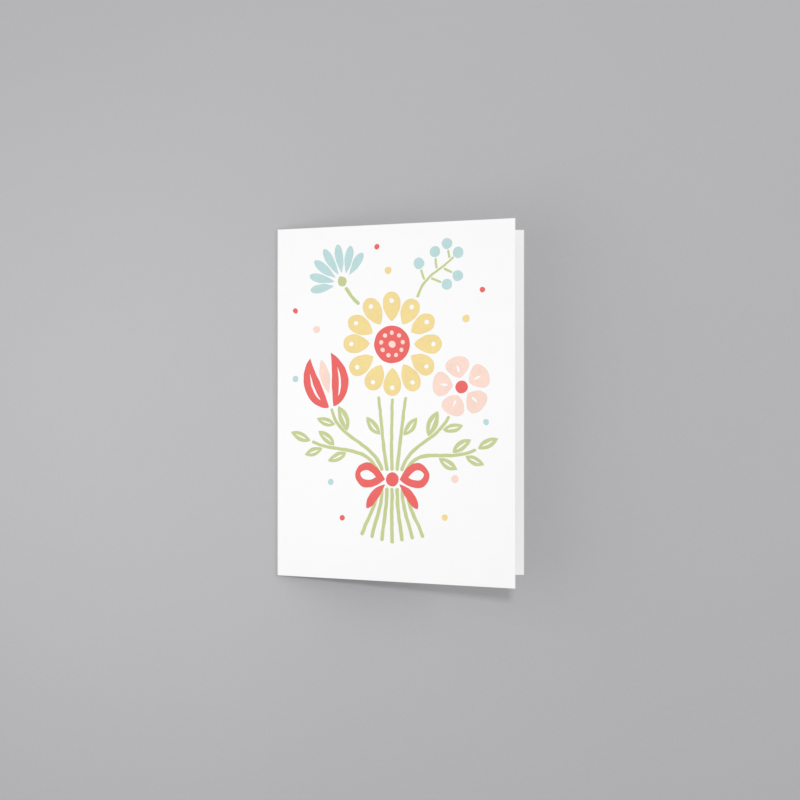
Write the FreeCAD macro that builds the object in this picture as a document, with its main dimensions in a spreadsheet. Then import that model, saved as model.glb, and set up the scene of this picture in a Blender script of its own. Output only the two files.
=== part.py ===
"""A greeting card: one sheet of card stock, folded once, lying on its back panel with its cover sprung open.

The row frame has +Z up and the card's back panel flat on z = 0. +X runs from the fold to the free edges and
+Y up the page, so that someone looking down reads the cover upright. The origin is at the middle of the
card's footprint, on the surface that it lies on.

The card is one section, seen from its lower short edge, that is carried along the page. The section is the
two panels, the round of the fold between them, and the bead that a creasing rule raises inside the fold.
"""

import FreeCAD, Part
import os
import Sketcher

from FreeCAD import Vector
from math import atan2, cos, radians, sin

# Driving dimensions, in millimetres and degrees
SIZES = {
    "panel_width": 127.0,  # from the crease to a free edge: half of the flat sheet
    "panel_height": 177.8,  # up the page, along the fold
    "board": 0.4,  # thickness of the card stock
    "fold_radius": 0.35,  # inside the fold
    "open_angle": 21.0,  # between the back panel and the cover
    "bead_spread": 90.0,  # angle that the crease's bead takes up, seen from the fold's centre
    "bead_rise": 0.1,  # how far the bead stands above its own base
}

# A panel's straight run leaves half of the fold's middle line to the fold
HALF_SWEEP = "(180 - sizes.open_angle) / 2 * pi / 180"
PANEL_RUN = f"sizes.panel_width - (sizes.fold_radius + sizes.board / 2) * {HALF_SWEEP}"
BEAD_WIDTH = "2 * sizes.fold_radius * sin(sizes.bead_spread / 2)"
BEAD_RADIUS = f"(({BEAD_WIDTH}) ^ 2 / 4 + sizes.bead_rise ^ 2) / (2 * sizes.bead_rise)"

START, END, CENTRE = 1, 2, 3  # the points of a sketch's line or arc
SKETCH_ORIGIN = (-1, 1)
HALF_TURN = radians(180)


def make_size_sheet(doc):
    """The spreadsheet of driving dimensions, each under its own alias."""
    sheet = doc.addObject("Spreadsheet::Sheet", "sizes")
    for row, (alias, value) in enumerate(SIZES.items(), start=1):
        sheet.set(f"A{row}", alias)
        sheet.set(f"B{row}", str(value))
        sheet.setAlias(f"B{row}", alias)
    doc.recompute()
    return sheet


def draw_section(sketch, sheet):
    """Draws the section close to its final place, and returns its elements' numbers by name.

    Sketch X is the row's X and sketch Y is its Z. The fold's centre stands over the sketch's origin. An arc
    runs anticlockwise: the fold's own arcs start on the cover's side and end on the back panel's.
    """
    inner = sheet.fold_radius
    outer = inner + sheet.board
    tilt = radians(sheet.open_angle)
    cover_side = HALF_TURN / 2 + tilt
    back_side = HALF_TURN * 3 / 2
    fold_middle = (cover_side + back_side) / 2
    run = sheet.panel_width - (inner + sheet.board / 2) * (back_side - cover_side) / 2

    half_spread = radians(sheet.bead_spread) / 2
    half_width = inner * sin(half_spread)
    bead_radius = (half_width**2 + sheet.bead_rise**2) / (2 * sheet.bead_rise)
    bead_depth = bead_radius - sheet.bead_rise
    half_turn_of_bead = atan2(half_width, bead_depth)

    def on_fold(radius, angle):
        return Vector(cos(angle), sin(angle), 0) * radius + Vector(0, outer, 0)

    def line(start, end, construction=False):
        return sketch.addGeometry(Part.LineSegment(start, end), construction)

    def arc(centre, radius, start_angle, end_angle):
        circle = Part.Circle(centre, Vector(0, 0, 1), radius)
        return sketch.addGeometry(Part.ArcOfCircle(circle, start_angle, end_angle), False)

    fold_centre = on_fold(0, 0)
    bead_centre = on_fold(inner * cos(half_spread) + bead_depth, fold_middle)
    bead_start = fold_middle - HALF_TURN - half_turn_of_bead
    bead_end = fold_middle - HALF_TURN + half_turn_of_bead
    cover_inner = on_fold(inner, cover_side)
    cover_outer = on_fold(outer, cover_side)
    along_cover = Vector(cos(tilt), sin(tilt), 0) * run

    return {
        "back_under": line(Vector(0, 0, 0), Vector(run, 0, 0)),
        "back_edge": line(Vector(run, 0, 0), Vector(run, sheet.board, 0)),
        "back_over": line(Vector(run, sheet.board, 0), Vector(0, sheet.board, 0)),
        "fold_low": arc(fold_centre, inner, fold_middle + half_spread, back_side),
        "bead": arc(bead_centre, bead_radius, bead_start, bead_end),
        "fold_high": arc(fold_centre, inner, cover_side, fold_middle - half_spread),
        "cover_under": line(cover_inner, cover_inner + along_cover),
        "cover_edge": line(cover_inner + along_cover, cover_outer + along_cover),
        "cover_over": line(cover_outer + along_cover, cover_outer),
        "fold_round": arc(fold_centre, outer, cover_side, back_side),
        "bisector": line(fold_centre, bead_centre, construction=True),
    }


def constrain_section(sketch, part):
    """Ties the section's elements to each other and to the sheet of sizes."""

    def join(kind, first, first_point, second, second_point):
        points = (part[first], first_point, part[second], second_point)
        sketch.addConstraint(Sketcher.Constraint(kind, *points))

    def relate(kind, *names):
        sketch.addConstraint(Sketcher.Constraint(kind, *[part[name] for name in names]))

    def measure(name, expression, kind, *where):
        index = sketch.addConstraint(Sketcher.Constraint(kind, *where))
        sketch.renameConstraint(index, name)
        sketch.setExpression(f"Constraints.{name}", expression)

    # The outline, from the fold along the back panel, back through the fold's inside and round the cover
    join("Coincident", "back_under", END, "back_edge", START)
    join("Coincident", "back_edge", END, "back_over", START)
    join("Tangent", "back_over", END, "fold_low", END)
    join("Coincident", "fold_low", START, "bead", START)
    join("Coincident", "bead", END, "fold_high", END)
    join("Tangent", "fold_high", START, "cover_under", START)
    join("Coincident", "cover_under", END, "cover_edge", START)
    join("Coincident", "cover_edge", END, "cover_over", START)
    join("Tangent", "cover_over", END, "fold_round", START)
    join("Tangent", "fold_round", END, "back_under", START)

    # One centre for the fold, standing over the sketch's origin, and one radius inside it
    sketch.addConstraint(Sketcher.Constraint("Coincident", part["back_under"], START, *SKETCH_ORIGIN))
    join("Coincident", "fold_low", CENTRE, "fold_round", CENTRE)
    join("Coincident", "fold_high", CENTRE, "fold_round", CENTRE)
    relate("Equal", "fold_low", "fold_high")

    # Two panels of one length and one thickness, cut square
    relate("Horizontal", "back_under")
    relate("Vertical", "back_edge")
    relate("Horizontal", "back_over")
    relate("Parallel", "cover_under", "cover_over")
    relate("Perpendicular", "cover_under", "cover_edge")
    relate("Equal", "back_under", "cover_over")

    # The bead stands in the middle of the fold
    join("Coincident", "bisector", START, "fold_round", CENTRE)
    join("Coincident", "bisector", END, "bead", CENTRE)
    fold_ends = (part["fold_round"], START, part["fold_round"], END)
    sketch.addConstraint(Sketcher.Constraint("Symmetric", *fold_ends, part["bisector"]))

    bead = part["bead"]
    tilt = radians(SIZES["open_angle"])
    measure("panel_run", PANEL_RUN, "Distance", part["back_under"], SIZES["panel_width"])
    measure("board", "sizes.board", "Distance", part["back_edge"], SIZES["board"])
    measure("fold_radius", "sizes.fold_radius", "Radius", part["fold_low"], SIZES["fold_radius"])
    measure("open_angle", "sizes.open_angle * 1 deg", "Angle", part["cover_under"], tilt)
    measure("bead_width", BEAD_WIDTH, "Distance", bead, START, bead, END, SIZES["fold_radius"])
    measure("bead_radius", BEAD_RADIUS, "Radius", bead, SIZES["fold_radius"])


def make_folded_card(doc, sheet):
    """The folded sheet: its section, carried along the page to both sides of the row's XZ plane."""
    body = doc.addObject("PartDesign::Body", "folded_card")
    section = body.newObject("Sketcher::SketchObject", "section")
    xz_plane = next(plane for plane in body.Origin.OriginFeatures if plane.Role == "XZ_Plane")
    section.AttachmentSupport = [(xz_plane, "")]
    section.MapMode = "FlatFace"
    constrain_section(section, draw_section(section, sheet))
    doc.recompute()

    page = body.newObject("PartDesign::Pad", "page")
    page.Profile = section
    page.SideType = "Symmetric"
    page.setExpression("Length", "sizes.panel_height")

    # The fold's outermost point and the back panel's free edge stand equally far from the row's origin
    body.setExpression("Placement.Base.x", f"(sizes.fold_radius + sizes.board - ({PANEL_RUN})) / 2")
    return body


def check(doc, bodies):
    """Stops if any object failed to build, or a sub-part has no valid shape."""
    for item in doc.Objects:
        if {"Invalid", "Error"} & set(item.State):
            raise RuntimeError(f"{item.Label} failed: {item.State}")
    for body in bodies:
        if body.Shape.isNull() or not body.Shape.isValid():
            raise RuntimeError(f"{body.Label} has no valid shape")


def main():
    doc = FreeCAD.newDocument("greeting_card")
    sheet = make_size_sheet(doc)
    bodies = [make_folded_card(doc, sheet)]
    doc.recompute()
    check(doc, bodies)
    os.makedirs("parts", exist_ok=True)
    for body in bodies:
        body.Shape.exportStep(f"parts/{body.Label}.step")


main()
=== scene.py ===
"""Dresses a folded greeting card: its card stock, the bouquet printed on its cover, and the stage under it.

Everything is in metres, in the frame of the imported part: +Z up, +X from the fold to the free edges, +Y up
the page. Only the print is first laid out on a flat page, in millimetres to the right of the middle of the
cover and above it, with Z as the thickness of the ink. lay_ink carries it from there to the cover.
"""

from math import atan2, cos, pi, radians, sin, sqrt
from random import Random

import bmesh
import bpy
from bpy.props import FloatProperty, FloatVectorProperty, IntProperty, PointerProperty
from mathutils import Color, Matrix, Vector, noise


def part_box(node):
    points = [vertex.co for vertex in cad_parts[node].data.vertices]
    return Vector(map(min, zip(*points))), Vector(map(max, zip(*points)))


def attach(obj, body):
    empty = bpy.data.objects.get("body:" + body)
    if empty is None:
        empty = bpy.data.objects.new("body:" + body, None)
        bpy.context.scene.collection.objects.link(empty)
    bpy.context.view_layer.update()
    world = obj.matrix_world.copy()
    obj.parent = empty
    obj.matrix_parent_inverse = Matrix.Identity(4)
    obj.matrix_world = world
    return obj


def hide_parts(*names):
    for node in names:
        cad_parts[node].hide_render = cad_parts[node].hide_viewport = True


bl_info = {
    "name": "Greeting Card",
    "version": (1, 0, 0),
    "blender": (4, 5, 0),
    "location": "3D View > Sidebar > Card",
    "description": "Builds a folded greeting card with a bouquet printed on its cover",
    "category": "Object",
}

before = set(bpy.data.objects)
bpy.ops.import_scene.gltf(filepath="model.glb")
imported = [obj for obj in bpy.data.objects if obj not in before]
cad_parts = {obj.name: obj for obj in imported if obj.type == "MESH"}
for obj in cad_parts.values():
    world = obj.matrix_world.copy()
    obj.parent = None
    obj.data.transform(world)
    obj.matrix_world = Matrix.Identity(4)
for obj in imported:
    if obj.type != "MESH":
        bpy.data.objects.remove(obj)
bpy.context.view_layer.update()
SHEET_LOW, SHEET_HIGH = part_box("folded_card")

MM = 0.001
Y_AXIS = Vector((0, 1, 0))


# Settings

def length(name, description, millimetres):
    return FloatProperty(
        name=name, description=description, default=millimetres * MM, min=0, precision=5, unit="LENGTH"
    )


def number(name, description, value, unit="NONE"):
    return FloatProperty(name=name, description=description, default=value, unit=unit)


def angle(name, description, degrees):
    return number(name, description, radians(degrees), "ROTATION")


def screen_colour(name, description, red, green, blue):
    """A colour as it looks on a screen, with each part from 0 to 255."""
    return FloatVectorProperty(
        name=name,
        description=description,
        default=(red / 255, green / 255, blue / 255),
        min=0,
        max=1,
        subtype="COLOR_GAMMA",
    )


class CardSheetSettings(bpy.types.PropertyGroup):
    """The sheet of card stock and how it is folded"""

    panel_width: length("Panel width", "From the crease to a free edge", 127)
    board: length("Board", "Thickness of the card stock", 0.4)
    fold_radius: length("Fold radius", "Inside the fold", 0.35)
    bead_rise: length("Bead rise", "How far the crease's bead stands above its own base", 0.1)
    bead_spread: angle("Bead spread", "What the bead takes up of the fold, seen from its centre", 90)
    open_angle: angle("Open angle", "Between the back panel and the cover", 21)
    rim_wear: length("Rim wear", "How far the sharp rims of the cut edges are rubbed down", 0.03)
    fold_steps: IntProperty(
        name="Fold steps", description="Facets round the outside of the fold", default=32, min=8
    )
    stock: screen_colour("Card stock", "Colour of the board's faces", 242, 242, 242)
    core: screen_colour("Core", "Colour of the board where it is cut", 241, 240, 237)


class CardPrintSettings(bpy.types.PropertyGroup):
    """The inks and the sizes of the bouquet"""

    film: length("Ink film", "Thickness of one coat of ink on the board", 0.02)
    sway: length("Sway", "How far the hand that drew the bouquet wandered", 0.5)
    waver: length("Waver", "How rough the cut of an outline is", 0.26)
    hand: IntProperty(name="Hand", description="Seed for how the hand sways and wavers", default=3, min=1)
    daisy_radius: length("Daisy radius", "From the middle of the daisy to the tip of a petal", 26)
    daisy_petals: IntProperty(name="Daisy petals", description="Petals round the daisy", default=12, min=5)
    tulip_height: length("Tulip height", "From the foot of the tulip to its tips", 26)
    blossom_radius: length("Blossom radius", "From the middle of the blossom to the edge of a petal", 15)
    stem_width: length("Stem width", "Width of a flower's stem", 1.9)
    leaf_length: length("Leaf length", "Length of a large leaf", 19)
    berry_radius: length("Berry radius", "Radius of a berry", 2.7)
    bow_span: length("Bow span", "From the tip of one loop of the bow to the other", 40)
    yellow: screen_colour("Yellow", "Ink of the daisy's petals", 234, 210, 141)
    coral: screen_colour("Coral", "Ink of the tulip and the bow", 227, 92, 89)
    blush: screen_colour("Blush", "Ink of the blossom", 241, 210, 196)
    teal: screen_colour("Teal", "Ink of the cornflower and the berries", 180, 210, 211)
    green: screen_colour("Green", "Ink of the stems and leaves", 189, 199, 138)


class CardStageSettings(bpy.types.PropertyGroup):
    """The floor, the lights and the camera"""

    floor: screen_colour("Floor", "Colour of the plain floor", 173, 173, 175)
    floor_size: length("Floor size", "Length of each side of the floor", 40000)
    camera_height: length("Camera height", "Of the lens above the surface that the card lies on", 672.3)
    camera_up_page: length("Camera up the page", "Of the lens from the middle of the card", 6.6)
    camera_left: length("Camera to the left", "Of the lens from the middle of the card", 0.4)
    lens: number("Lens", "Focal length on a sensor that is 36 mm wide", 58.68, "CAMERA")
    view_shift: number("View shift", "How far the frame is shifted up, in frame widths", -0.013)
    high_light: number("High light", "Power of the light overhead", 5.5, "POWER")
    near_light: number("Near light", "Power of the light beside the fold", 0.25, "POWER")
    side_light: number("Side light", "Power of the light on the right", 8.9, "POWER")
    sky: number("Sky", "Strength of the light from all round", 0.573)


# Materials

def shader_colour(setting):
    """The linear colour that a shader takes for a colour as it looks on a screen."""
    return (*Color(setting).from_srgb_to_scene_linear(), 1)


def add_node(tree, kind, inputs, **settings):
    """Adds a shader node, and sets each named or numbered input to a value or feeds it from an output."""
    node = tree.nodes.new(f"ShaderNode{kind}")
    for name, value in settings.items():
        setattr(node, name, value)
    for name, value in inputs.items():
        if isinstance(value, bpy.types.NodeSocket):
            tree.links.new(value, node.inputs[name])
        else:
            node.inputs[name].default_value = value
    return node


def calc(tree, operation, *values):
    """Adds a Math node and returns its output."""
    return add_node(tree, "Math", dict(enumerate(values)), operation=operation).outputs[0]


def ramp(tree, value, start, end, at_start, at_end):
    """Adds a map of a value that gives at_start up to start, and at_end from end on. Returns its output."""
    inputs = {
        "Value": value, "From Min": start, "From Max": end, "To Min": at_start, "To Max": at_end
    }
    return add_node(tree, "MapRange", inputs).outputs["Result"]


def grain(tree, place, scale, detail=2, roughness=0.5):
    """Adds a noise with its number of features to a metre, and returns it as values round 0.5."""
    inputs = {"Vector": place, "Scale": scale, "Detail": detail, "Roughness": roughness}
    return add_node(tree, "TexNoise", inputs).outputs["Fac"]


def stretched(tree, place, turn, stretch):
    """Adds a mapping that draws a pattern out across the page, in the direction that turn gives."""
    inputs = {"Vector": place, "Rotation": (0, 0, turn), "Scale": (1, 1 / stretch, 1)}
    return add_node(tree, "Mapping", inputs).outputs[0]


def new_group(name, inputs, outputs):
    """Starts a shader node group; inputs holds each socket's default. Returns its tree and two ends."""
    tree = bpy.data.node_groups.new(name, "ShaderNodeTree")
    for label, default in inputs.items():
        kind = "NodeSocketFloat" if isinstance(default, (int, float)) else "NodeSocketColor"
        tree.interface.new_socket(label, in_out="INPUT", socket_type=kind).default_value = default
    for label, kind in outputs.items():
        tree.interface.new_socket(label, in_out="OUTPUT", socket_type=kind)
    return tree, tree.nodes.new("NodeGroupInput"), tree.nodes.new("NodeGroupOutput")


def place_group(tree, group, inputs):
    """Adds a node group to a tree."""
    return add_node(tree, "Group", inputs, node_tree=group)


def board_surface_group():
    """The surface of uncoated board: its tooth, the fibres that lie in it, and how cloudy it looks."""
    name = "board_surface"
    if name in bpy.data.node_groups:
        return bpy.data.node_groups[name]
    outputs = {"Height": "NodeSocketFloat", "Cloud": "NodeSocketFloat"}
    tree, group_in, group_out = new_group(name, {"Fibre": 1.0}, outputs)
    place = add_node(tree, "TexCoord", {}).outputs["Object"]
    tooth = grain(tree, place, scale=2400, detail=4, roughness=0.6)
    height = tooth
    for turn in (radians(28), radians(-47), radians(84)):
        strand = grain(tree, stretched(tree, place, turn, stretch=9), scale=2600, detail=1)
        off_ridge = calc(tree, "ABSOLUTE", calc(tree, "SUBTRACT", strand, 0.5))
        fibre = ramp(tree, off_ridge, start=0, end=0.035, at_start=0.3, at_end=0)
        height = calc(tree, "MULTIPLY_ADD", fibre, group_in.outputs["Fibre"], height)
    tree.links.new(height, group_out.inputs["Height"])
    wide = grain(tree, place, scale=110)
    close = grain(tree, place, scale=620, detail=3)
    cloud = calc(tree, "SUBTRACT", calc(tree, "ADD", wide, close), 1.0)
    tree.links.new(cloud, group_out.inputs["Cloud"])
    return tree


def tinted_group():
    """A colour made lighter or darker by a tone, which is 0 where the colour stays as it is."""
    name = "tinted"
    if name in bpy.data.node_groups:
        return bpy.data.node_groups[name]
    inputs = {"Colour": (1, 1, 1, 1), "Tone": 0.0}
    tree, group_in, group_out = new_group(name, inputs, {"Colour": "NodeSocketColor"})
    scale = calc(tree, "ADD", group_in.outputs["Tone"], 1.0)
    toned = add_node(tree, "VectorMath", {0: group_in.outputs["Colour"], "Scale": scale}, operation="SCALE")
    tree.links.new(toned.outputs[0], group_out.inputs["Colour"])
    return tree


def start_material(name):
    """A new material with its node tree and its shader."""
    material = bpy.data.materials.new(name)
    material.use_nodes = True
    return material, material.node_tree, material.node_tree.nodes["Principled BSDF"]


def finish_surface(tree, shader, colour, tone, roughness, height, depth):
    """Feeds the shader a toned colour, a roughness, and a bump as deep as depth, in millimetres."""
    toned = place_group(tree, tinted_group(), {"Colour": colour, "Tone": tone})
    bump = add_node(tree, "Bump", {"Strength": 1.0, "Distance": depth * MM, "Height": height})
    tree.links.new(toned.outputs["Colour"], shader.inputs["Base Color"])
    tree.links.new(roughness, shader.inputs["Roughness"])
    tree.links.new(bump.outputs["Normal"], shader.inputs["Normal"])


def stock_material(sheet):
    """Bright white card stock with a fine tooth, and the cracked, pressed skin of its crease, with painted
    shade in its cracks.
    """
    material, tree, shader = start_material("card_stock")
    surface = place_group(tree, board_surface_group(), {"Fibre": 1.0})
    place = add_node(tree, "TexCoord", {}).outputs["Object"]
    across = add_node(tree, "SeparateXYZ", {0: place}).outputs["X"]
    crease_end = SHEET_LOW.x + 2 * (sheet.fold_radius + sheet.board)
    crease = ramp(tree, across, start=SHEET_LOW.x, end=crease_end, at_start=1, at_end=0)
    along_page = stretched(tree, place, turn=0, stretch=14)
    crack = grain(tree, along_page, scale=5200, detail=3, roughness=0.7)
    cracked = calc(tree, "MULTIPLY", calc(tree, "GREATER_THAN", crack, 0.6), crease)
    # The cracks are lowered in the bump and also darkened by painted shade.
    crack_painted_shade = calc(tree, "MULTIPLY", cracked, -0.05)
    tone = calc(tree, "MULTIPLY_ADD", surface.outputs["Cloud"], 0.014, crack_painted_shade)
    roughness = calc(tree, "MULTIPLY_ADD", surface.outputs["Height"], 0.12, 0.56)
    height = calc(tree, "SUBTRACT", surface.outputs["Height"], calc(tree, "MULTIPLY", cracked, 0.6))
    finish_surface(tree, shader, shader_colour(sheet.stock), tone, roughness, height, depth=0.014)
    return material


def core_material(sheet):
    """The board where a blade cut it: pressed layers of fibre, a little warmer than the faces."""
    material, tree, shader = start_material("card_core")
    surface = place_group(tree, board_surface_group(), {"Fibre": 1.6})
    place = add_node(tree, "TexCoord", {}).outputs["Object"]
    layers = grain(tree, place, scale=5500, detail=4, roughness=0.75)
    tone = calc(tree, "MULTIPLY_ADD", layers, 0.16, -0.1)
    height = calc(tree, "ADD", surface.outputs["Height"], layers)
    roughness = calc(tree, "MULTIPLY_ADD", layers, 0.2, 0.7)
    finish_surface(tree, shader, shader_colour(sheet.core), tone, roughness, height, depth=0.03)
    return material


def ink_group():
    """Ink on board: it pools at the rim of a field, and lies a little thinner where the tooth stands up."""
    name = "ink_on_board"
    if name in bpy.data.node_groups:
        return bpy.data.node_groups[name]
    outputs = {"Tone": "NodeSocketFloat", "Roughness": "NodeSocketFloat", "Height": "NodeSocketFloat"}
    tree, group_in, group_out = new_group(name, {"Rim": 0.0, "Pooling": 0.1}, outputs)
    surface = place_group(tree, board_surface_group(), {"Fibre": 0.5})
    place = add_node(tree, "TexCoord", {}).outputs["Object"]
    streaks = grain(tree, stretched(tree, place, turn=radians(62), stretch=5), scale=900, detail=3)
    unevenness = calc(tree, "SUBTRACT", calc(tree, "ADD", streaks, surface.outputs["Height"]), 1.0)
    uneven_tone = calc(tree, "MULTIPLY", unevenness, 0.05)
    mottle = calc(tree, "MULTIPLY_ADD", surface.outputs["Cloud"], 0.11, uneven_tone)
    near_rim = calc(tree, "POWER", group_in.outputs["Rim"], 2.0)
    pooled = calc(tree, "MULTIPLY", near_rim, group_in.outputs["Pooling"])
    tree.links.new(calc(tree, "SUBTRACT", mottle, pooled), group_out.inputs["Tone"])
    roughness = calc(tree, "MULTIPLY_ADD", streaks, 0.14, 0.46)
    tree.links.new(roughness, group_out.inputs["Roughness"])
    tree.links.new(surface.outputs["Height"], group_out.inputs["Height"])
    return tree


def ink_material(ink, colour):
    """One of the five inks."""
    name = f"{ink}_ink"
    if name in bpy.data.materials:
        return bpy.data.materials[name]
    material, tree, shader = start_material(name)
    rim = add_node(tree, "Attribute", {}, attribute_name="rim").outputs["Fac"]
    lay = place_group(tree, ink_group(), {"Rim": rim, "Pooling": 0.1})
    tone, roughness, height = (lay.outputs[label] for label in ("Tone", "Roughness", "Height"))
    finish_surface(tree, shader, shader_colour(colour), tone, roughness, height, depth=0.012)
    return material


def floor_material(colour):
    """A plain matt floor with the faint unevenness of a painted board."""
    material, tree, shader = start_material("floor")
    place = add_node(tree, "TexCoord", {}).outputs["Object"]
    wide = grain(tree, place, scale=7, detail=3)
    close = grain(tree, place, scale=420, detail=5, roughness=0.65)
    tone = calc(tree, "MULTIPLY_ADD", calc(tree, "ADD", wide, close), 0.05, -0.05)
    roughness = calc(tree, "MULTIPLY_ADD", close, 0.2, 0.65)
    finish_surface(tree, shader, shader_colour(colour), tone, roughness, close, depth=0.15)
    return material


# The folded sheet

SHARP = radians(40)  # an edge that turns by more isn't shaded smooth
CUT_RIM = radians(70)  # an edge that turns outwards by more is a rim of a cut edge
FACING = 0.9  # the least that a face's normal has along an axis that the face looks along


class Fold:
    """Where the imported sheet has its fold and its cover."""

    def __init__(self, sheet):
        self.inner = sheet.fold_radius
        self.outer = sheet.fold_radius + sheet.board
        self.run = SHEET_HIGH.x - SHEET_LOW.x - self.outer
        self.centre = Vector((SHEET_LOW.x + self.outer, SHEET_LOW.y, SHEET_LOW.z + self.outer))
        self.sweep = pi - sheet.open_angle
        self.along_back = Vector((1, 0, 0))
        self.along_cover = Vector((cos(sheet.open_angle), 0, sin(sheet.open_angle)))
        self.out_of_cover = Vector((-sin(sheet.open_angle), 0, cos(sheet.open_angle)))

    def page(self, sheet):
        """The matrix that carries the flat page, in millimetres, to the cover's outer face."""
        free_edge = self.centre + self.out_of_cover * self.outer + self.along_cover * self.run
        middle = free_edge - self.along_cover * sheet.panel_width / 2
        middle.y = (SHEET_LOW.y + SHEET_HIGH.y) / 2
        turned = Matrix((self.along_cover, Y_AXIS, self.out_of_cover)).transposed().to_4x4()
        return Matrix.Translation(middle) @ turned @ Matrix.Scale(MM, 4)


def draw_section(bm, sheet, fold):
    """Draws the section at the sheet's lower short edge, from the back panel's free edge and back to it."""

    def go_straight(pen, step):
        pen = bmesh.ops.extrude_vert_indiv(bm, verts=[pen])["verts"][0]
        bmesh.ops.translate(bm, vec=step, verts=[pen])
        return pen

    def go_round(pen, centre, turn, steps):
        bent = bmesh.ops.spin(bm, geom=[pen], cent=centre, axis=Y_AXIS, angle=turn, steps=steps)
        return next(item for item in bent["geom_last"] if isinstance(item, bmesh.types.BMVert))

    half_spread = sheet.bead_spread / 2
    half_width = fold.inner * sin(half_spread)
    bead_radius = (half_width**2 + sheet.bead_rise**2) / (2 * sheet.bead_rise)
    bead_depth = bead_radius - sheet.bead_rise
    to_bead = Matrix.Rotation(fold.sweep / 2, 3, "Y") @ Vector((0, 0, -1))
    bead_centre = fold.centre + to_bead * (fold.inner * cos(half_spread) + bead_depth)
    beside_bead = fold.sweep / 2 - half_spread
    few_steps = sheet.fold_steps // 3

    start = bmesh.ops.create_vert(bm, co=(SHEET_HIGH.x, SHEET_LOW.y, SHEET_LOW.z))["vert"][0]
    pen = go_straight(start, -fold.along_back * fold.run)
    pen = go_round(pen, fold.centre, fold.sweep, sheet.fold_steps)
    pen = go_straight(pen, fold.along_cover * fold.run)
    pen = go_straight(pen, -fold.out_of_cover * sheet.board)
    pen = go_straight(pen, -fold.along_cover * fold.run)
    pen = go_round(pen, fold.centre, -beside_bead, few_steps)
    pen = go_round(pen, bead_centre, 2 * atan2(half_width, bead_depth), few_steps)
    pen = go_round(pen, fold.centre, -beside_bead, few_steps)
    pen = go_straight(pen, fold.along_back * fold.run)
    bm.edges.new((pen, start))
    bmesh.ops.contextual_create(bm, geom=bm.edges[:])


class CARD_OT_fold_sheet(bpy.types.Operator):
    """Fold the sheet of card stock at its crease, with its cover sprung open"""

    bl_idname = "card.fold_sheet"
    bl_label = "Fold the Sheet"

    def execute(self, context):
        sheet = context.scene.card_sheet
        fold = Fold(sheet)
        bm = bmesh.new()
        draw_section(bm, sheet, fold)
        swept = bmesh.ops.extrude_face_region(bm, geom=bm.faces[:])["geom"]
        far_end = [item for item in swept if isinstance(item, bmesh.types.BMVert)]
        bmesh.ops.translate(bm, vec=Y_AXIS * (SHEET_HIGH.y - SHEET_LOW.y), verts=far_end)
        bmesh.ops.recalc_face_normals(bm, faces=bm.faces[:])
        for face in bm.faces:
            place = face.calc_center_median()
            at_short_edge = abs(face.normal.y) > FACING
            at_free_edge = place.x > 0 and face.normal.x > FACING
            face.material_index = int(at_short_edge or at_free_edge)
            face.smooth = not at_short_edge and place.x < fold.centre.x
        for edge in bm.edges:
            edge.smooth = edge.calc_face_angle(0) < SHARP
        rims = [edge for edge in bm.edges if edge.calc_face_angle_signed(0) > CUT_RIM]
        bmesh.ops.bevel(
            bm, geom=rims, offset=sheet.rim_wear, segments=2, profile=0.5, affect="EDGES", material=-1
        )
        piece = make_piece("card_sheet", bm, [stock_material(sheet), core_material(sheet)])
        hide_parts("folded_card")
        return {"FINISHED"}


# Drawing on the page

RIM_LOOP = 0.9  # size of the loop just inside a field's rim, against the rim itself
HOLE_LOOP = 1.15  # size of the loop just outside a hole, against the hole itself
SWAY_SPAN = 27  # about how far the hand goes from one sway to the next
WAVER_SPAN = 3.4  # about how far the blade goes from one waver to the next


def put_in_order(bm):
    """Sorts edges and faces by their points, because an extrusion leaves them in another order each run."""
    bm.verts.index_update()
    count = len(bm.verts)

    def rank(item):
        first, second, *others = sorted(vert.index for vert in item.verts)
        return (first * count + second) * count + (others[0] if others else 0)

    bm.edges.sort(key=rank)
    bm.faces.sort(key=rank)


def make_piece(name, bm, materials):
    """Makes a bmesh a piece of the card, with its materials, and hangs it from the card's root body."""
    put_in_order(bm)
    mesh = bpy.data.meshes.new(name)
    bm.to_mesh(mesh)
    bm.free()
    for material in materials:
        mesh.materials.append(material)
    piece = bpy.data.objects.new(name, mesh)
    bpy.context.scene.collection.objects.link(piece)
    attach(piece, "root")
    return piece


def toward(heading, distance):
    """The step over the page in the direction heading, which turns anticlockwise from the right."""
    return Vector((cos(heading), sin(heading))) * distance


def disc(middle, radius):
    """A round shape: like every shape, a function from the unit circle to the page."""
    return lambda x, y: middle + Vector((x, y)) * radius


def blade(root, heading, length, width, base=0.0, tip=0.0, bend=0.0):
    """The shape of a petal or leaf that grows from root in the direction heading, and turns by bend.

    base and tip say how much its ends are drawn to a point: 0 is round, and 0.5 is a straight-sided point.
    """
    def swell(x):
        return max(1 + x, 0) ** base * max(1 - x, 0) ** tip

    widest = (base - tip) / (base + tip + 1)
    fullest = swell(widest) * sqrt(1 - widest**2)

    def shape(x, y):
        along = (1 + x) / 2 * length
        across = y * swell(x) / fullest * width / 2
        turn = bend * along / length
        return root + toward(heading + turn / 2, along) + toward(heading + turn + pi / 2, across)

    return shape


def vein(root, heading, length, bend, width):
    """The shape of the bare line that runs up the middle of a blade, by the blade's own root and course."""
    start = 0.22
    share = 0.55
    vein_root = root + toward(heading + start * bend / 2, start * length)
    vein_heading = heading + start * bend
    return blade(
        vein_root, vein_heading, length=share * length, width=width, base=0.1, tip=0.3, bend=share * bend
    )


def start_print():
    """Starts a bmesh for fields of ink, which remember how near a point is to a field's rim."""
    bm = bmesh.new()
    bm.verts.layers.float.new("rim")
    return bm


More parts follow.
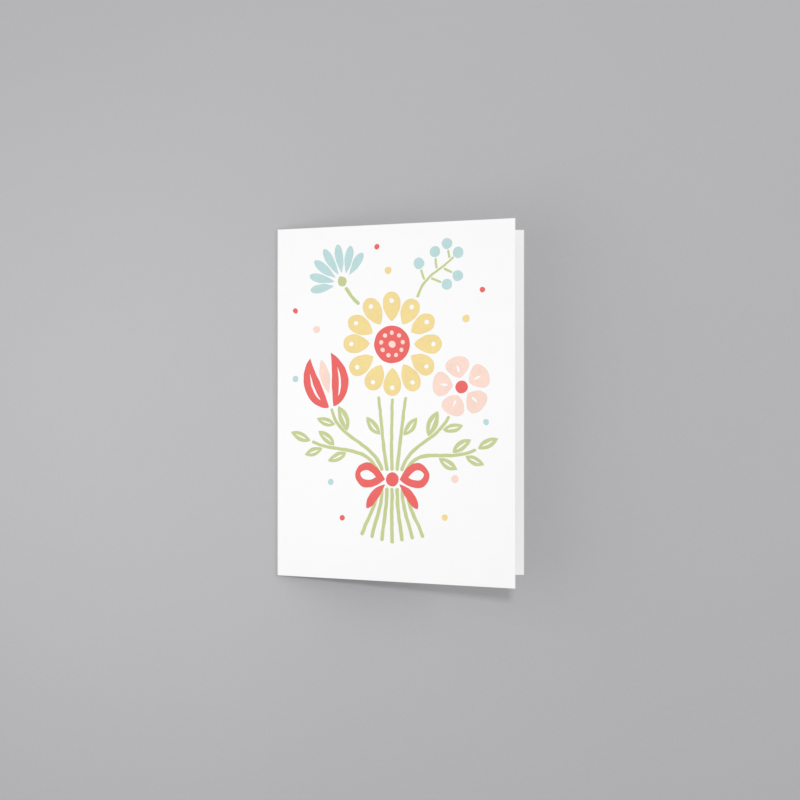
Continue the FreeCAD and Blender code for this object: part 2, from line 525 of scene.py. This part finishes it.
def add_loop(bm, shape, segments, growth=1.0, near_rim=1.0):
    """Adds a shape's outline as a loop of edges, grown or shrunk about its own middle."""
    loop = bmesh.ops.create_circle(bm, segments=segments, radius=1)["verts"]
    rim = bm.verts.layers.float["rim"]
    for vert in loop:
        vert.co.xy = shape(vert.co.x, vert.co.y)
        vert[rim] = near_rim
    middle = sum((vert.co for vert in loop), Vector()) / segments
    to_middle = Matrix.Translation(-middle)
    bmesh.ops.scale(bm, vec=(growth, growth, 1), space=to_middle, verts=loop)
    return list({edge for vert in loop for edge in vert.link_edges})


def add_field(bm, outline, hole=None, segments=48):
    """Adds one field of ink, with a loop just inside its rim, and a hole of bare board if it has one."""
    loops = [add_loop(bm, outline, segments), add_loop(bm, outline, segments, RIM_LOOP, near_rim=0)]
    if hole:
        loops += [add_loop(bm, hole, segments, HOLE_LOOP, near_rim=0), add_loop(bm, hole, segments)]
    for outside, inside in zip(loops, loops[1:]):
        bmesh.ops.bridge_loops(bm, edges=outside + inside)
    if not hole:
        bmesh.ops.contextual_create(bm, geom=loops[-1])


def curve(start, leave, arrive, end):
    """A smooth line over the page, by its ends and the handles that it leaves and arrives by.

    It is a function from 0 to 1 to a place and the heading there.
    """
    def at(way):
        first, second, third = start.lerp(leave, way), leave.lerp(arrive, way), arrive.lerp(end, way)
        behind, ahead = first.lerp(second, way), second.lerp(third, way)
        step = ahead - behind
        return behind.lerp(ahead, way), atan2(step.y, step.x)

    return at


def grow(start, start_heading, end, end_heading):
    """The curve of a stem that leaves start and reaches end by the two headings."""
    handle = 0.38 * (end - start).length
    return curve(start, start + toward(start_heading, handle), end - toward(end_heading, handle), end)


def add_stroke(bm, line, width, taper=0.0, cuts=36):
    """Adds a stroke with round ends along a line: a disc whose far half is drawn out, and then bent."""
    segments = 16
    for vert in bm.verts:
        vert.tag = True
    verts = bmesh.ops.create_circle(bm, cap_ends=True, segments=segments, radius=width / 2)["verts"]
    half_step = Matrix.Rotation(pi / segments, 3, "Z")
    bmesh.ops.rotate(bm, cent=(0, 0, 0), matrix=half_step, verts=verts)
    span = (line(1)[0] - line(0)[0]).length
    bmesh.ops.translate(bm, vec=(span, 0, 0), verts=[vert for vert in verts if vert.co.x > 0])
    sides = {edge for vert in verts for edge in vert.link_edges if edge.calc_length() > span / 2}
    bmesh.ops.subdivide_edges(bm, edges=list(sides), cuts=cuts)
    for vert in [vert for vert in bm.verts if not vert.tag]:
        on_line = min(max(vert.co.x, 0), span)
        middle, heading = line(on_line / span)
        across = vert.co.y * (1 - taper * on_line / span)
        vert.co.xy = middle + toward(heading, vert.co.x - on_line) + toward(heading + pi / 2, across)


def by_hand(place, ink):
    """How far the hand that drew the bouquet and the blade that cut it strayed at a place of the page."""
    flat = Vector((place.x, place.y, 0))
    sway = noise.noise_vector(flat / SWAY_SPAN) * ink.sway / MM
    waver = noise.noise_vector(flat / WAVER_SPAN) * ink.waver / MM
    return (sway + waver).xy


def lay_ink(context, name, bm, ink_name, coat=1):
    """Gives fields of ink their thickness, lays them on the cover and makes them a piece.

    A second coat stands on the first, so that no two fields share a plane.
    """
    ink = context.scene.card_print
    sheet = context.scene.card_sheet
    noise.seed_set(ink.hand)
    for vert in bm.verts:
        vert.co.xy += by_hand(vert.co, ink)
    bmesh.ops.recalc_face_normals(bm, faces=bm.faces[:])
    soaked_in = ink.film / MM / 2
    bmesh.ops.translate(bm, vec=(0, 0, -soaked_in), verts=bm.verts[:])
    raised = bmesh.ops.extrude_face_region(bm, geom=bm.faces[:])["geom"]
    top = [item for item in raised if isinstance(item, bmesh.types.BMVert)]
    bmesh.ops.translate(bm, vec=(0, 0, soaked_in + coat * ink.film / MM), verts=top)
    bmesh.ops.recalc_face_normals(bm, faces=bm.faces[:])
    bmesh.ops.transform(bm, matrix=Fold(sheet).page(sheet), verts=bm.verts[:])
    material = ink_material(ink_name, getattr(ink, ink_name))
    return make_piece(name, bm, [material])


# The bouquet, and where its flowers stand on the page

UP = radians(90)
DAISY = Vector((0, 29))
TULIP_FOOT = Vector((-33, -2))
TULIP_HEADING = radians(103)
BLOSSOM = Vector((36.5, 8))
CORNFLOWER_FOOT = Vector((-26, 60))
CORNFLOWER_HEADING = radians(122)
BERRY_TIP = Vector((32, 71))
KNOT = Vector((0, -38))
STEM_PITCH = 2.7  # from stem to stem at the knot
KNOT_GAP = 5  # from the middle of the knot to the stems above and below it
GAP = 1.8  # from the end of a stem to its flower


def past_daisy(ink, heading):
    """The place where a stem in the direction heading comes out behind the daisy."""
    return DAISY + toward(heading, ink.daisy_radius / MM + GAP)


def around(count, start=0.0):
    """Evenly spread headings round a full turn."""
    return [start + 2 * pi * index / count for index in range(count)]


class CARD_OT_print_daisy(bpy.types.Operator):
    """Print the large daisy: petals that each hold a bare dot, round an eye full of seeds"""

    bl_idname = "card.print_daisy"
    bl_label = "Print the Daisy"

    def execute(self, context):
        ink = context.scene.card_print
        radius = ink.daisy_radius / MM
        eye_radius = 0.36 * radius
        petal_root = 0.45 * radius
        widest_at = 0.74 * radius
        between_petals = 0.6
        width = widest_at * 2 * pi / ink.daisy_petals - between_petals
        chance = Random(5)
        petals = start_print()
        for heading in around(ink.daisy_petals, start=UP):
            heading += chance.uniform(-0.02, 0.02)
            reach = radius - petal_root + chance.uniform(-0.6, 0.6)
            petal = blade(DAISY + toward(heading, petal_root), heading, reach, width, base=0.3)
            dot = disc(DAISY + toward(heading, petal_root + 0.7 * reach), 0.045 * radius)
            add_field(petals, petal, dot)
        lay_ink(context, "daisy_petals", petals, "yellow")

        eye = start_print()
        add_field(eye, disc(DAISY, eye_radius), segments=64)
        lay_ink(context, "daisy_eye", eye, "coral")

        seed_ring = 0.22 * radius
        seed_radius = 0.042 * radius
        seeds = start_print()
        add_field(seeds, disc(DAISY, 0.07 * radius), segments=32)
        for heading in around(9, start=UP):
            add_field(seeds, disc(DAISY + toward(heading, seed_ring), seed_radius), segments=24)
        lay_ink(context, "daisy_seeds", seeds, "blush", coat=2)
        return {"FINISHED"}


class CARD_OT_print_tulip(bpy.types.Operator):
    """Print the tulip: two petals that close round a third"""

    bl_idname = "card.print_tulip"
    bl_label = "Print the Tulip"

    def execute(self, context):
        height = context.scene.card_print.tulip_height / MM
        reach = 1.03 * height
        cup = start_print()
        for side in (1, -1):
            root = TULIP_FOOT + toward(TULIP_HEADING + side * pi / 2, 0.05 * height)
            lean = TULIP_HEADING + side * radians(47)
            bend = -side * radians(74)
            petal = blade(root, lean, reach, width=0.35 * height, base=0.35, tip=0.45, bend=bend)
            add_field(cup, petal, vein(root, lean, reach, bend, width=1.3))
        lay_ink(context, "tulip_cup", cup, "coral")

        heart = start_print()
        root = TULIP_FOOT + toward(TULIP_HEADING, 0.27 * height)
        petal = blade(
            root, TULIP_HEADING, length=0.66 * height, width=0.21 * height, base=0.5, tip=0.4
        )
        add_field(heart, petal)
        lay_ink(context, "tulip_heart", heart, "blush")
        return {"FINISHED"}


class CARD_OT_print_blossom(bpy.types.Operator):
    """Print the blossom: five broad petals round a small eye"""

    bl_idname = "card.print_blossom"
    bl_label = "Print the Blossom"

    def execute(self, context):
        radius = context.scene.card_print.blossom_radius / MM
        petals = start_print()
        for heading in around(5, start=radians(101)):
            root = BLOSSOM + toward(heading, 0.3 * radius)
            petal = blade(root, heading, length=0.7 * radius, width=0.8 * radius, base=0.3)
            dash_root = BLOSSOM + toward(heading, 0.48 * radius)
            dash = blade(dash_root, heading, length=0.27 * radius, width=1.2, tip=0.3)
            add_field(petals, petal, dash)
        lay_ink(context, "blossom_petals", petals, "blush")

        eye = start_print()
        add_field(eye, disc(BLOSSOM, 0.21 * radius))
        lay_ink(context, "blossom_eye", eye, "coral")
        return {"FINISHED"}


# Each berry's place on its branch from 0 to 1, its side, and the length of its stalk
BERRIES = [(0.3, 1, 4.2), (0.42, -1, 4.4), (0.62, 1, 4.0), (0.74, -1, 3.8), (0.93, 1, 3.0)]
BERRY_LEAN = radians(62)  # between a stalk and the branch
STALK_START = 1.7  # from the middle of the branch to where a stalk starts
BERRY_GAP = 1.0  # from the end of a stalk to its berry


def berry_branch(ink):
    """The line of the branch that the berries grow from."""
    return grow(past_daisy(ink, radians(60)), radians(74), BERRY_TIP, radians(42))


def berry_stalks(branch):
    """Where each berry's stalk starts and ends, and its heading."""
    stalks = []
    for way, side, reach in BERRIES:
        on_branch, heading = branch(way)
        lean = heading + side * BERRY_LEAN
        start = on_branch + toward(lean, STALK_START)
        stalks.append((start, start + toward(lean, reach), lean))
    return stalks


class CARD_OT_print_cornflower(bpy.types.Operator):
    """Print the cornflower, a fan of narrow petals, and the branch of berries across from it"""

    bl_idname = "card.print_cornflower"
    bl_label = "Print the Cornflower and Berries"

    def execute(self, context):
        middle_reach = 15.5
        shorter_by = 0.8
        fan = start_print()
        for index in range(-3, 4):
            heading = CORNFLOWER_HEADING + index * radians(22)
            root = CORNFLOWER_FOOT + toward(heading, 5.4)
            reach = middle_reach - shorter_by * abs(index)
            add_field(fan, blade(root, heading, reach, width=4.4, base=0.5, tip=0.1))
        lay_ink(context, "cornflower", fan, "teal")

        ink = context.scene.card_print
        radius = ink.berry_radius / MM
        branch = berry_branch(ink)
        berries = start_print()
        for end, heading in [(end, lean) for start, end, lean in berry_stalks(branch)] + [branch(1)]:
            add_field(berries, disc(end + toward(heading, BERRY_GAP + radius), radius))
        lay_ink(context, "berries", berries, "teal")
        return {"FINISHED"}


def bouquet_stems(ink):
    """The line of each stem above the knot, from left to right."""
    fan = radians(9)
    # Where each stem ends, and its heading there
    ends = [
        (Vector((-43, -20)), radians(158)),
        (TULIP_FOOT - toward(TULIP_HEADING, GAP), TULIP_HEADING),
        (past_daisy(ink, radians(-105)), radians(98)),
        (past_daisy(ink, radians(-90)), radians(90)),
        (past_daisy(ink, radians(-75)), radians(82)),
        (BLOSSOM + toward(radians(-115), ink.blossom_radius / MM + GAP), radians(62)),
        (Vector((43, -23)), radians(26)),
    ]
    lines = []
    for index, (end, heading) in enumerate(ends, start=-3):
        start = KNOT + Vector((index * STEM_PITCH, KNOT_GAP))
        lines.append(grow(start, UP - index * fan, end, heading))
    return lines


# Each leaf's stem, place on it from 0 to 1, side, and size against a large leaf
LEAVES = [
    (0, 0.5, 1, 0.58), (0, 0.68, -1, 0.6), (0, 0.84, 1, 0.55), (0, 1.0, 0, 0.6),
    (1, 0.62, -1, 0.7), (1, 0.8, 1, 0.55),
    (2, 0.45, 1, 0.6),
    (4, 0.45, -1, 0.6),
    (5, 0.58, 1, 0.7), (5, 0.8, -1, 0.55),
    (6, 0.5, -1, 0.58), (6, 0.68, 1, 0.6), (6, 0.84, -1, 0.55), (6, 1.0, 0, 0.6),
]


class CARD_OT_print_greenery(bpy.types.Operator):
    """Print the stems above and below the knot, and every leaf"""

    bl_idname = "card.print_greenery"
    bl_label = "Print the Stems and Leaves"

    def execute(self, context):
        ink = context.scene.card_print
        width = ink.stem_width / MM
        foot_pitch = 2 * STEM_PITCH
        foot_drop = 31
        shorter_by = 1.2
        foot_fan = radians(7)
        lines = bouquet_stems(ink)
        stems = start_print()
        for line in lines:
            add_stroke(stems, line, width, taper=0.15)
        for index in range(-3, 4):
            top = KNOT + Vector((index * STEM_PITCH, -KNOT_GAP))
            foot = KNOT + Vector((index * foot_pitch, shorter_by * abs(index) - foot_drop))
            add_stroke(stems, grow(top, -UP, foot, -UP + index * foot_fan), width)
        calyx = CORNFLOWER_FOOT - toward(CORNFLOWER_HEADING, 1)
        add_field(stems, blade(calyx, CORNFLOWER_HEADING, length=5.6, width=5, base=0.2, tip=0.5))
        below_calyx = calyx - toward(CORNFLOWER_HEADING, GAP)
        cornflower_stem = grow(past_daisy(ink, radians(131)), radians(140), below_calyx, CORNFLOWER_HEADING)
        add_stroke(stems, cornflower_stem, width)
        branch = berry_branch(ink)
        add_stroke(stems, branch, 0.75 * width, taper=0.3)
        for start, end, heading in berry_stalks(branch):
            add_stroke(stems, grow(start, heading, end, heading), 0.6 * width, cuts=4)
        lay_ink(context, "stems", stems, "green")

        leaf = ink.leaf_length / MM
        leaves = start_print()
        for index, way, side, size in LEAVES:
            start, heading = lines[index](way)
            lean = heading + side * radians(40)
            root = start + toward(lean, width)
            bend = -side * radians(14)
            reach = size * leaf
            outline = blade(root, lean, reach, width=0.42 * reach, base=0.4, tip=0.45, bend=bend)
            add_field(leaves, outline, vein(root, lean, reach, bend, width=0.9))
        lay_ink(context, "leaves", leaves, "green", coat=2)
        return {"FINISHED"}


class CARD_OT_print_bow(bpy.types.Operator):
    """Print the bow that ties the bouquet: two loops, two tails and the knot"""

    bl_idname = "card.print_bow"
    bl_label = "Print the Bow"

    def execute(self, context):
        loop_start = 3.9
        reach = context.scene.card_print.bow_span / MM / 2 - loop_start
        bow = start_print()
        for side in (1, -1):
            root = KNOT + Vector((side * loop_start, 0))
            heading = UP - side * radians(78)
            loop = blade(root, heading, reach, width=0.78 * reach, base=0.45, tip=0.1)
            hole_root = root + toward(heading, 0.3 * reach)
            hole = blade(hole_root, heading, length=0.52 * reach, width=0.3 * reach, base=0.4, tip=0.1)
            add_field(bow, loop, hole, segments=64)
            tail_root = root + Vector((0, -2.5))
            tail_heading = -UP + side * radians(52)
            bend = -side * 0.5
            tail = blade(
                tail_root, tail_heading, length=0.95 * reach, width=4.6, base=0.3, tip=0.1, bend=bend
            )
            add_field(bow, tail)
        add_field(bow, disc(KNOT, radius=3.4))
        lay_ink(context, "bow", bow, "coral", coat=2)
        return {"FINISHED"}


# The loose dots round the bouquet: each one's ink, its place on the page, and its radius
CONFETTI = [
    ("blush", (-41, 37), 1.9), ("yellow", (-2, 66), 1.8), ("coral", (-53, 47), 1.4),
    ("yellow", (39, 41), 1.9), ("coral", (-8, 78), 1.4), ("teal", (-53, 12), 1.6),
    ("coral", (47, 55), 1.4), ("teal", (49, -9), 1.5), ("blush", (33, -37), 1.9),
    ("teal", (-33, -40), 1.6), ("yellow", (28, -56), 1.6), ("coral", (-27, -58), 1.4),
]


class CARD_OT_print_confetti(bpy.types.Operator):
    """Print the loose dots round the bouquet"""

    bl_idname = "card.print_confetti"
    bl_label = "Print the Loose Dots"

    def execute(self, context):
        for ink_name in sorted({ink for ink, place, radius in CONFETTI}):
            dots = start_print()
            for ink, place, radius in CONFETTI:
                if ink == ink_name:
                    add_field(dots, disc(Vector(place), radius), segments=32)
            lay_ink(context, f"dots_{ink_name}", dots, ink_name)
        return {"FINISHED"}


# The stage

CLEAR_OF_CARD = 0.05 * MM  # between the card and the floor, so that they share no plane

# Each light's place and width, in metres
LIGHTS = {
    "high": ((0, 0.3, 1.4), 0.12),
    "near": ((-0.2, -0.02, 0.27), 0.25),
    "side": ((1.4, 0.7, 1.2), 0.9),
}


def add_light(name, place, width, power):
    """Adds a square studio light at a place, turned to the card."""
    light = bpy.data.lights.new(name, "AREA")
    light.shape = "SQUARE"
    light.size = width
    light.energy = power
    lamp = bpy.data.objects.new(name, light)
    lamp.location = place
    lamp.visible_camera = False
    lamp.rotation_euler = (-lamp.location).to_track_quat("-Z", "Y").to_euler()
    bpy.context.scene.collection.objects.link(lamp)


class CARD_OT_set_stage(bpy.types.Operator):
    """Lay the floor, hang the lights and set up the camera"""

    bl_idname = "card.set_stage"
    bl_label = "Set the Stage"

    def execute(self, context):
        stage = context.scene.card_stage
        bm = bmesh.new()
        bmesh.ops.create_grid(bm, x_segments=1, y_segments=1, size=stage.floor_size / 2)
        bmesh.ops.translate(bm, vec=(0, 0, SHEET_LOW.z - CLEAR_OF_CARD), verts=bm.verts[:])
        mesh = bpy.data.meshes.new("floor")
        bm.to_mesh(mesh)
        bm.free()
        mesh.materials.append(floor_material(stage.floor))
        floor = bpy.data.objects.new("floor", mesh)
        context.scene.collection.objects.link(floor)

        for name, (place, width) in LIGHTS.items():
            add_light(name, place, width, getattr(stage, f"{name}_light"))
        world = bpy.data.worlds.new("studio")
        world.use_nodes = True
        background = world.node_tree.nodes["Background"]
        background.inputs["Color"].default_value = (1, 1, 1, 1)
        background.inputs["Strength"].default_value = stage.sky
        context.scene.world = world
        context.scene.view_settings.view_transform = "Standard"

        camera = bpy.data.cameras.new("camera")
        camera.lens = stage.lens
        camera.shift_y = stage.view_shift
        eye = bpy.data.objects.new("camera", camera)
        eye.location = (-stage.camera_left, stage.camera_up_page, stage.camera_height)
        context.scene.collection.objects.link(eye)
        context.scene.camera = eye
        return {"FINISHED"}


# The add-on

OPERATORS = [
    CARD_OT_fold_sheet,
    CARD_OT_print_daisy,
    CARD_OT_print_tulip,
    CARD_OT_print_blossom,
    CARD_OT_print_cornflower,
    CARD_OT_print_greenery,
    CARD_OT_print_bow,
    CARD_OT_print_confetti,
    CARD_OT_set_stage,
]
SETTINGS = {
    "card_sheet": CardSheetSettings,
    "card_print": CardPrintSettings,
    "card_stage": CardStageSettings,
}


class CARD_PT_builder(bpy.types.Panel):
    """The card's settings and its steps, in order"""

    bl_idname = "CARD_PT_builder"
    bl_label = "Greeting Card"
    bl_space_type = "VIEW_3D"
    bl_region_type = "UI"
    bl_category = "Card"

    def draw(self, context):
        for name, settings in SETTINGS.items():
            box = self.layout.box()
            for setting in settings.__annotations__:
                box.prop(getattr(context.scene, name), setting)
        for operator in OPERATORS:
            self.layout.operator(operator.bl_idname)


def register():
    for item in [*SETTINGS.values(), *OPERATORS, CARD_PT_builder]:
        bpy.utils.register_class(item)
    for name, settings in SETTINGS.items():
        setattr(bpy.types.Scene, name, PointerProperty(type=settings))


def unregister():
    for name in SETTINGS:
        delattr(bpy.types.Scene, name)
    for item in [CARD_PT_builder, *reversed(OPERATORS), *reversed(SETTINGS.values())]:
        bpy.utils.unregister_class(item)


def main():
    register()
    for operator in OPERATORS:
        group, name = operator.bl_idname.split(".")
        getattr(getattr(bpy.ops, group), name)()


if __name__ == "__main__":
    main()
